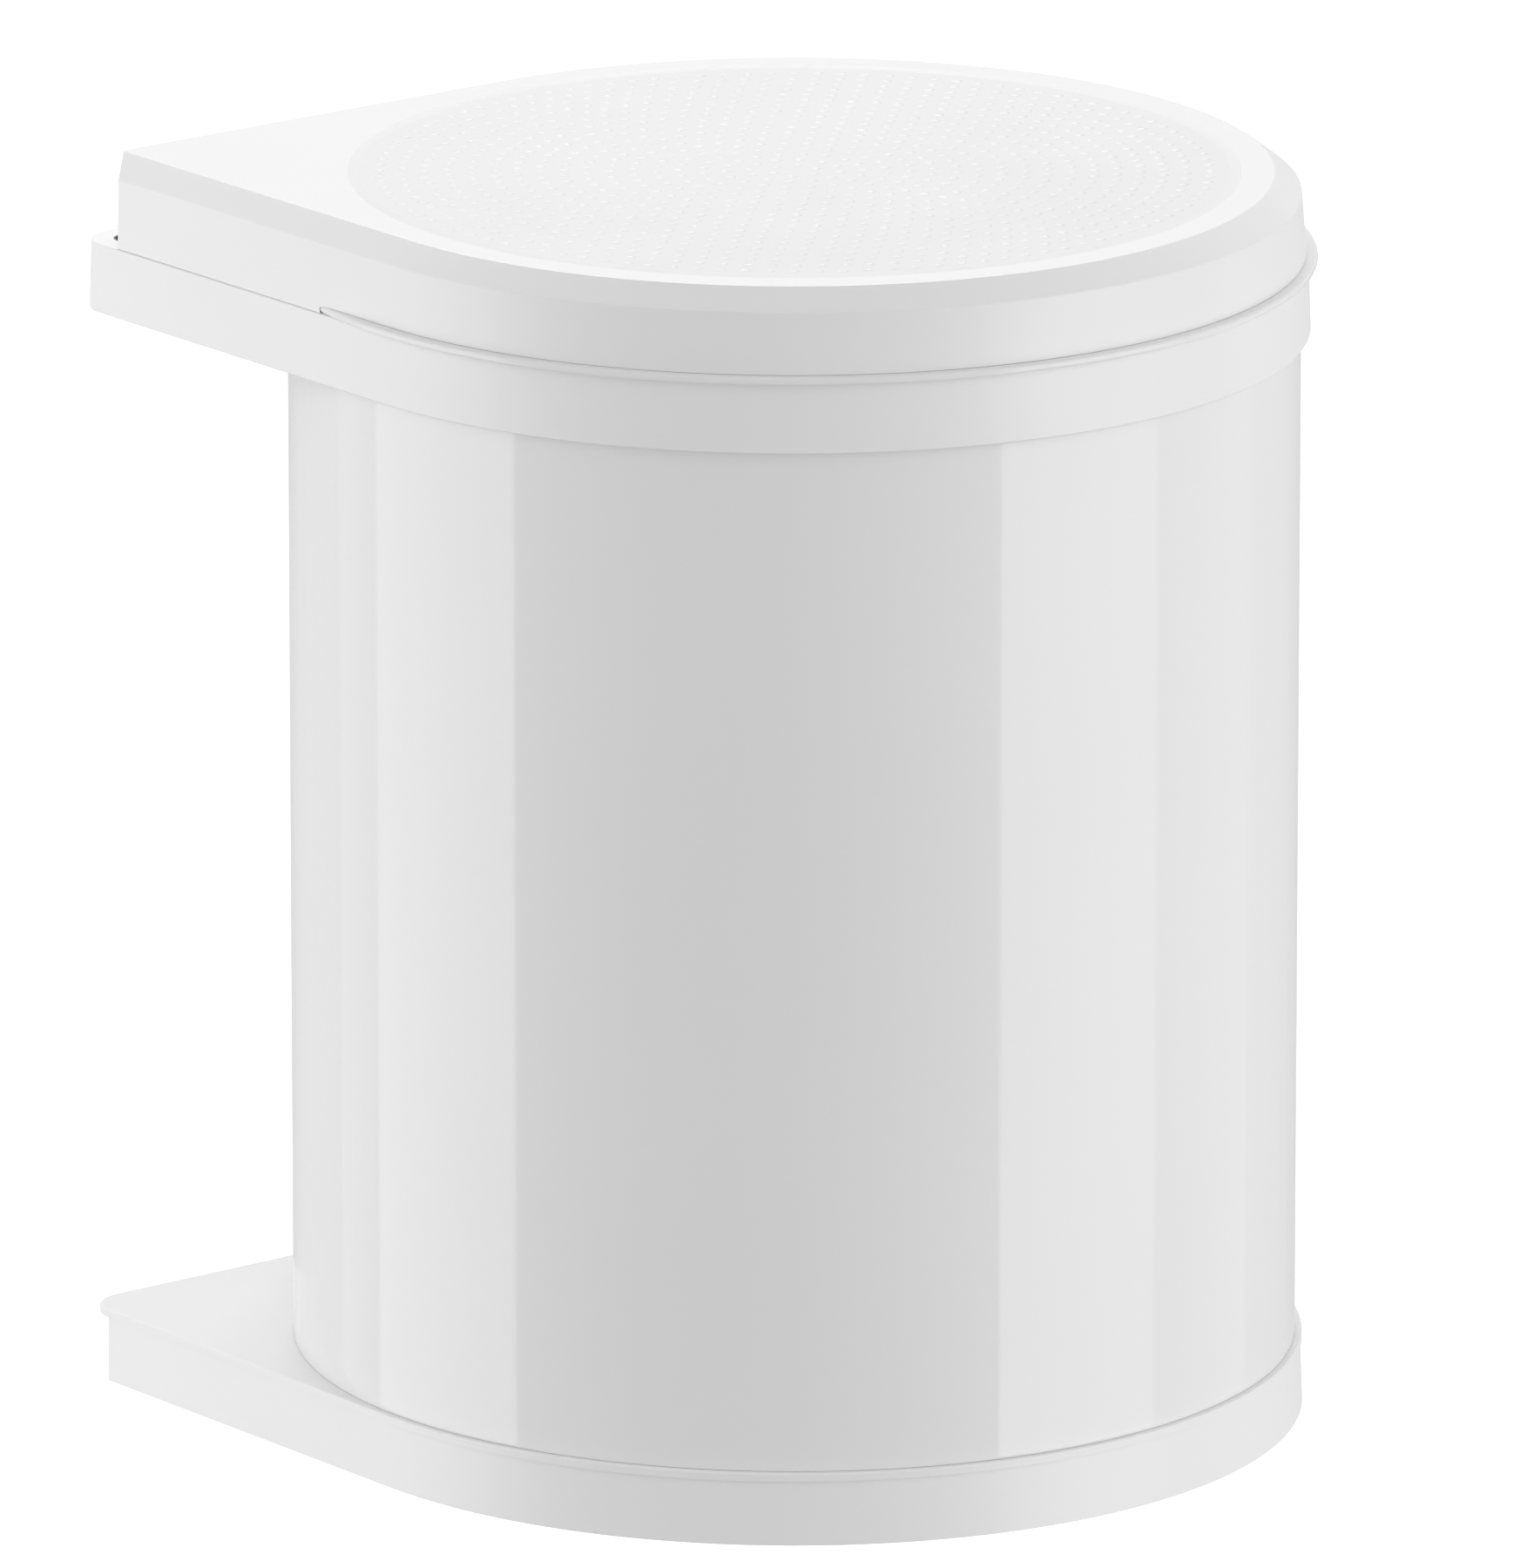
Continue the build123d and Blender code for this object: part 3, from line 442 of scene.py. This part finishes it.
def dot_tree():
    """Points on rings, each with a low dome that stands out of the panel."""
    tree, inputs = geometry_tree("rings of dots", dot_sizes)
    rings = inputs["Rings"]
    next_ring = math_node(tree, "ADD", rings, 1.0)
    count = math_node(tree, "MULTIPLY", math_node(tree, "MULTIPLY", rings, next_ring), 3.0)
    points = add_node(tree, "GeometryNodePoints", {"Count": count}).outputs[0]
    number = add_node(tree, "GeometryNodeInputIndex").outputs[0]
    root = math_node(tree, "SQRT", math_node(tree, "MULTIPLY_ADD", number, 12.0, 9.01))
    sixths = math_node(tree, "DIVIDE", math_node(tree, "SUBTRACT", root, 3.0), 6.0)
    before = math_node(tree, "FLOOR", sixths)
    ring = math_node(tree, "ADD", before, 1.0)
    passed = math_node(tree, "MULTIPLY", math_node(tree, "MULTIPLY", ring, before), 3.0)
    turn = math_node(tree, "DIVIDE", math_node(tree, "SUBTRACT", number, passed), ring)
    angle = math_node(tree, "MULTIPLY_ADD", turn, pi / 3, inputs["First Angle"])
    reach = math_node(tree, "MULTIPLY", ring, inputs["Pitch"])
    x = math_node(tree, "MULTIPLY", reach, math_node(tree, "COSINE", angle))
    y = math_node(tree, "MULTIPLY", reach, math_node(tree, "SINE", angle))
    spot = add_node(tree, "ShaderNodeCombineXYZ", {"X": x, "Y": y}).outputs[0]
    values = {"Geometry": points, "Position": spot}
    placed = add_node(tree, "GeometryNodeSetPosition", values).outputs[0]
    values = {"Segments": 10, "Rings": 6, "Radius": 1.0}
    ball = add_node(tree, "GeometryNodeMeshUVSphere", values).outputs[0]
    point = add_node(tree, "GeometryNodeInputPosition").outputs[0]
    point = add_node(tree, "ShaderNodeSeparateXYZ", {0: point}).outputs
    squared = math_node(tree, "MULTIPLY", point["Z"], math_node(tree, "ABSOLUTE", point["Z"]))
    values = {"X": point["X"], "Y": point["Y"], "Z": squared}
    low = add_node(tree, "ShaderNodeCombineXYZ", values).outputs[0]
    values = {"Geometry": ball, "Position": low}
    dome = add_node(tree, "GeometryNodeSetPosition", values).outputs[0]
    values = {"X": inputs["Dot Radius"], "Y": inputs["Dot Radius"], "Z": inputs["Dot Height"]}
    size = add_node(tree, "ShaderNodeCombineXYZ", values).outputs[0]
    values = {"Points": placed, "Instance": dome, "Scale": size}
    dots = add_node(tree, "GeometryNodeInstanceOnPoints", values).outputs[0]
    values = {"Geometry": dots, "Translation": (axis_x, axis_y, lid_top - panel_depth)}
    moved = add_node(tree, "GeometryNodeTransform", values)
    end_tree(tree, moved.outputs[0], inputs)
    return tree


run_tree("lid_dots", dot_tree(), dot_sizes, lid_abs, "lid_body", sharp=80)

# %% [markdown]
# The bucket's wall is a section turned about its axis: a thin sheet with a flat bead rolled
# outwards at its top. A glossy coat shows the smallest flat spot, so the wall is made again here,
# with many more steps round than the solid model has. The section is drawn once, as a closed line
# with rounded bead corners, and the tree sweeps it along a circle.

# %% The bucket's wall
sheet = 0.8 * mm
bead_round = 0.95 * mm


def corner(x, z, radius, first, steps=8):
    """A quarter turn of section points, anticlockwise from an angle in degrees."""
    angles = [radians(first + 90 * i / steps) for i in range(steps + 1)]
    return [(x + radius * cos(a), z + radius * sin(a)) for a in angles]


def bucket_section():
    """The wall's section as (out from the wall's outer face, up from its foot)."""
    top = bucket_high.z - bucket_low.z
    under = top - bead_height
    low_round = corner(bead_edge - bead_round, under + bead_round, bead_round, -90)
    high_round = corner(bead_edge - bead_round, top - bead_round, bead_round, 0)
    inner_round = corner(bead_round - sheet, top - bead_round, bead_round, 90)
    return [(-sheet, 0), (0, 0), (0, under), *low_round, *high_round, *inner_round]


def section_mesh(name, points):
    """A closed line of points. The sweep turns its +X outwards and its +Y downwards."""
    mesh = bpy.data.meshes.new(name)
    edges = [(i, (i + 1) % len(points)) for i in range(len(points))]
    mesh.from_pydata([(out, -up, 0) for out, up in points], edges, [])
    return mesh


turn_sizes = {"Radius": bucket_radius, "Foot": bucket_low.z, "Steps": 360}


def turning_tree():
    """Sweeps the section along a circle about the bucket's axis."""
    tree, inputs = geometry_tree("turned section", turn_sizes)
    line = add_node(tree, "GeometryNodeMeshToCurve", {0: inputs["Geometry"]}).outputs[0]
    values = {"Resolution": inputs["Steps"], "Radius": inputs["Radius"]}
    circle = add_node(tree, "GeometryNodeCurvePrimitiveCircle", values).outputs[0]
    values = {"Curve": circle, "Profile Curve": line}
    swept = add_node(tree, "GeometryNodeCurveToMesh", values).outputs[0]
    values = {"X": axis_x, "Y": axis_y, "Z": inputs["Foot"]}
    place = add_node(tree, "ShaderNodeCombineXYZ", values).outputs[0]
    moved = add_node(tree, "GeometryNodeTransform", {"Geometry": swept, "Translation": place})
    end_tree(tree, moved.outputs[0], inputs)
    return tree


bucket_skin = run_tree(
    "bucket_skin",
    turning_tree(),
    turn_sizes,
    white_coat,
    "bin_carrier",
    start=section_mesh("bucket_section", bucket_section()),
)
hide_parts("bucket_wall")
skin_points = [v.co for v in bucket_skin.data.vertices]
for name, axis in (("x", 0), ("y", 1), ("z", 2)):
    low = min(p[axis] for p in skin_points)
    high = max(p[axis] for p in skin_points)
    ends = [round(v / mm, 2) for v in (low, high, bucket_low[axis], bucket_high[axis])]
    print("bucket", name, "from", ends[0], "to", ends[1], "mm, solid from", ends[2], "to", ends[3])

# %% [markdown]
# The camera stands where the photograph's camera stood: far away with a long lens, which keeps
# the bin's upright lines nearly parallel, and a little above the lid.

# %% Camera
camera_place = Vector((4.7740, -3.6591, 1.6329))
camera_way = Vector((-0.7577, 0.5967, -0.2643))
camera_data = bpy.data.cameras.new("camera")
camera_data.lens = 518.76
camera_data.sensor_width = 36.0
camera = bpy.data.objects.new("camera", camera_data)
bpy.context.scene.collection.objects.link(camera)
camera.location = camera_place
camera.rotation_euler = camera_way.to_track_quat("-Z", "Y").to_euler()
bpy.context.scene.camera = camera
camera_azimuth = atan2(camera_place.y - axis_y, camera_place.x - axis_x)
print("the camera stands at azimuth", round(degrees(camera_azimuth), 1), "degrees")

# %% [markdown]
# Two tall softboxes, one to each side, make the bands that show in the glossy bucket. A band's
# edge on a round mirror tells where the softbox ends: light leaves the bucket at twice the angle
# at which its surface is turned. So the bands' edges are written as angles on the bucket, and a
# function works out where each edge of a softbox has to stand.

# %% Softboxes
studio_radius = 1.0
floor_drop = 0.35
floor_level = foot - floor_drop
left_band = (-55.2, -33.3)
right_band = (23.9, 45.4)


def seen_in_bucket(angle):
    """Where a level ray from the camera goes after it meets the bucket at an angle."""
    normal = camera_azimuth + radians(angle)
    way = camera_azimuth + radians(2 * angle)
    start = Vector((cos(normal), sin(normal))) * bucket_radius
    along = Vector((cos(way), sin(way)))
    forward = start.dot(along)
    run = sqrt(forward**2 - bucket_radius**2 + studio_radius**2) - forward
    return Vector((axis_x, axis_y)) + start + along * run


def softbox(name, place, target, width, height, brightness, left_edge=1.0, right_edge=1.0):
    """An area lamp that faces a target. A brightness of 1 looks as bright as white paper. It may
    fade from one edge to the other, as a softbox does whose flash stands to one side."""
    data = bpy.data.lights.new(name, "AREA")
    data.shape = "RECTANGLE"
    data.size = width
    data.size_y = height
    data.energy = brightness * pi * width * height
    data.use_nodes = True
    tree = data.node_tree
    across = add_node(tree, "ShaderNodeNewGeometry").outputs["Parametric"]
    share = add_node(tree, "ShaderNodeSeparateXYZ", {0: across}).outputs["X"]
    limits = {"Value": share, "To Min": left_edge, "To Max": right_edge}
    fade = add_node(tree, "ShaderNodeMapRange", limits).outputs[0]
    tree.links.new(fade, tree.nodes["Emission"].inputs["Strength"])
    lamp = bpy.data.objects.new(name, data)
    bpy.context.scene.collection.objects.link(lamp)
    lamp.location = place
    lamp.rotation_euler = (Vector(target) - Vector(place)).to_track_quat("-Z", "Y").to_euler()
    lamp.visible_camera = False
    print(name, round(width, 3), "by", round(height, 3), "m, at", [round(v, 2) for v in place])
    return lamp


def band_softbox(name, band, brightness, left_edge, right_edge):
    """An upright softbox whose mirror image fills a band on the bucket."""
    first, last = (seen_in_bucket(a) for a in band)
    middle = (first + last) / 2
    height = box_high - box_low
    level = (box_high + box_low) / 2
    place = (middle.x, middle.y, level)
    target = (axis_x, axis_y, level)
    width = (last - first).length
    return softbox(name, place, target, width, height, brightness, left_edge, right_edge)


box_low = floor_level + 0.02
box_high = 0.75
band_brightness = 1.4
bright_edge = 1.4
dim_edge = 0.6
band_softbox("left_softbox", left_band, band_brightness, dim_edge, bright_edge)
band_softbox("right_softbox", right_band, band_brightness, bright_edge, dim_edge)

# %% [markdown]
# A third softbox hangs behind the bin, above it and a little to the left. It brightens what
# faces up, and hardly reaches what faces the camera, so the lid's top stands out from its bevel.

# %% Back softbox
towards = Vector((cos(camera_azimuth), sin(camera_azimuth), 0))
leftwards = Vector((sin(camera_azimuth), -cos(camera_azimuth), 0))
upwards = Vector((0, 0, 1))
lid_middle = Vector((axis_x, axis_y, lid_top))
back_place = lid_middle - 1.2 * towards + 0.1 * leftwards + 1.1 * upwards
back_width = 1.0
back_height = 0.9
back_brightness = 3.85
softbox("back_softbox", back_place, lid_middle, back_width, back_height, back_brightness)

# %% [markdown]
# A round mirror shows what stands behind it at its two edges. A white bucket would melt into a
# white backdrop there, so a photographer puts a grey card behind it, out of the picture. The card
# is curved, and its ends are lighter, so that the grey comes in softly. Two pairs of numbers say
# where the fade lies, as shares of the card's width off its middle, and how bright it starts and
# ends.

# %% Grey card
card_spread = radians(120)
card_steps = 24
card_low = floor_level + 0.002
card_high = lid_top
card_fade = (0.2, 0.5)
card_glow = (0.7, 0.9)


def grey_card():
    """A curved card behind the bin, which only reflections and scattered light can see."""
    mesh = bpy.data.meshes.new("grey_card")
    points = []
    for i in range(card_steps + 1):
        way = camera_azimuth + pi + card_spread * (i / card_steps - 0.5)
        x = axis_x + studio_radius * cos(way)
        y = axis_y + studio_radius * sin(way)
        points += [(x, y, card_low), (x, y, card_high)]
    faces = [(2 * i, 2 * i + 1, 2 * i + 3, 2 * i + 2) for i in range(card_steps)]
    mesh.from_pydata(points, [], faces)
    across = mesh.uv_layers.new(name="across")
    for loop in mesh.loops:
        across.data[loop.index].uv = (loop.vertex_index // 2 / card_steps, loop.vertex_index % 2)
    card = bpy.data.objects.new("grey_card", mesh)
    bpy.context.scene.collection.objects.link(card)
    card.visible_camera = False
    card.visible_shadow = False
    return card


def card_finish():
    """An even grey glow that gets lighter towards the card's two ends."""
    material, tree, shader, place = new_material("card grey matt")
    shader.inputs["Base Color"].default_value = (0, 0, 0, 1)
    shader.inputs["Specular IOR Level"].default_value = 0.0
    across = add_node(tree, "ShaderNodeTexCoord").outputs["UV"]
    share = add_node(tree, "ShaderNodeSeparateXYZ", {0: across}).outputs["X"]
    offset = math_node(tree, "ABSOLUTE", math_node(tree, "SUBTRACT", share, 0.5))
    limits = {"Value": offset, "From Min": card_fade[0], "From Max": card_fade[1]}
    limits.update({"To Min": card_glow[0], "To Max": card_glow[1]})
    glow = add_node(tree, "ShaderNodeMapRange", limits).outputs[0]
    shader.inputs["Emission Color"].default_value = (1, 1, 1, 1)
    tree.links.new(glow, shader.inputs["Emission Strength"])
    return material


card = grey_card()
card.data.materials.append(card_finish())
print("the grey card is", round((card_high - card_low) / mm), "mm high")

# %% [markdown]
# The rest of the light is soft. The world gives it, more from the sides than from above, and
# shows itself white to the camera and in reflections. The floor is pale grey paper, which sends
# little light up, so that edges stand out from what is under them. It lies lower than the bin's
# foot, because the bin hangs on its bracket. It keeps the bin's shadow, and adds a glow for camera
# and reflections only, so that it meets the world's white.

# %% World and floor
world = bpy.data.worlds.new("studio")
bpy.context.scene.world = world
world.use_nodes = True
room = world.node_tree
path = add_node(room, "ShaderNodeLightPath").outputs
seen = math_node(room, "MAXIMUM", path["Is Camera Ray"], path["Is Glossy Ray"])
seen = math_node(room, "MAXIMUM", seen, path["Is Transmission Ray"])
side_light = 0.775
top_light = 0.43
front_light = 0.06
direction = add_node(room, "ShaderNodeTexCoord").outputs["Generated"]
height = add_node(room, "ShaderNodeSeparateXYZ", {0: direction}).outputs["Z"]
limits = {"Value": height, "To Min": side_light, "To Max": top_light}
even_light = add_node(room, "ShaderNodeMapRange", limits).outputs[0]
front_way = (towards + 0.7 * upwards).normalized()
values = {0: direction, 1: front_way}
facing = add_node(room, "ShaderNodeVectorMath", values, operation="DOT_PRODUCT")
facing = math_node(room, "MAXIMUM", facing.outputs["Value"], 0.0)
world_light = math_node(room, "MULTIPLY_ADD", facing, front_light, even_light)
rest = math_node(room, "SUBTRACT", 1.0, world_light)
strength = math_node(room, "MULTIPLY_ADD", seen, rest, world_light)
backdrop = room.nodes["Background"]
backdrop.inputs["Color"].default_value = (1, 1, 1, 1)
room.links.new(strength, backdrop.inputs["Strength"])

floor_size = 12.0
floor_glow = 0.83
floor_mesh = bpy.data.meshes.new("floor")
corners = [(-1, -1), (1, -1), (1, 1), (-1, 1)]
corners = [(floor_size * x, floor_size * y, floor_level) for x, y in corners]
floor_mesh.from_pydata(corners, [], [(0, 1, 2, 3)])
floor = bpy.data.objects.new("floor", floor_mesh)
bpy.context.scene.collection.objects.link(floor)


def floor_finish():
    """Pale grey matt paper, which the camera or a mirror sees lifted to the white behind it."""
    material, tree, shader, place = new_material("paper pale grey matt")
    shader.inputs["Base Color"].default_value = linear("#BCBCBC")
    shader.inputs["Roughness"].default_value = 1.0
    shader.inputs["Specular IOR Level"].default_value = 0.0
    path = add_node(tree, "ShaderNodeLightPath").outputs
    seen = math_node(tree, "MAXIMUM", path["Is Camera Ray"], path["Is Glossy Ray"])
    seen = math_node(tree, "MAXIMUM", seen, path["Is Transmission Ray"])
    shader.inputs["Emission Color"].default_value = (1, 1, 1, 1)
    glow = math_node(tree, "MULTIPLY", seen, floor_glow)
    tree.links.new(glow, shader.inputs["Emission Strength"])
    return material


floor.data.materials.append(floor_finish())
bpy.context.scene.view_settings.view_transform = "Standard"
print("the floor lies", round(floor_drop / mm), "mm below the bin's foot")
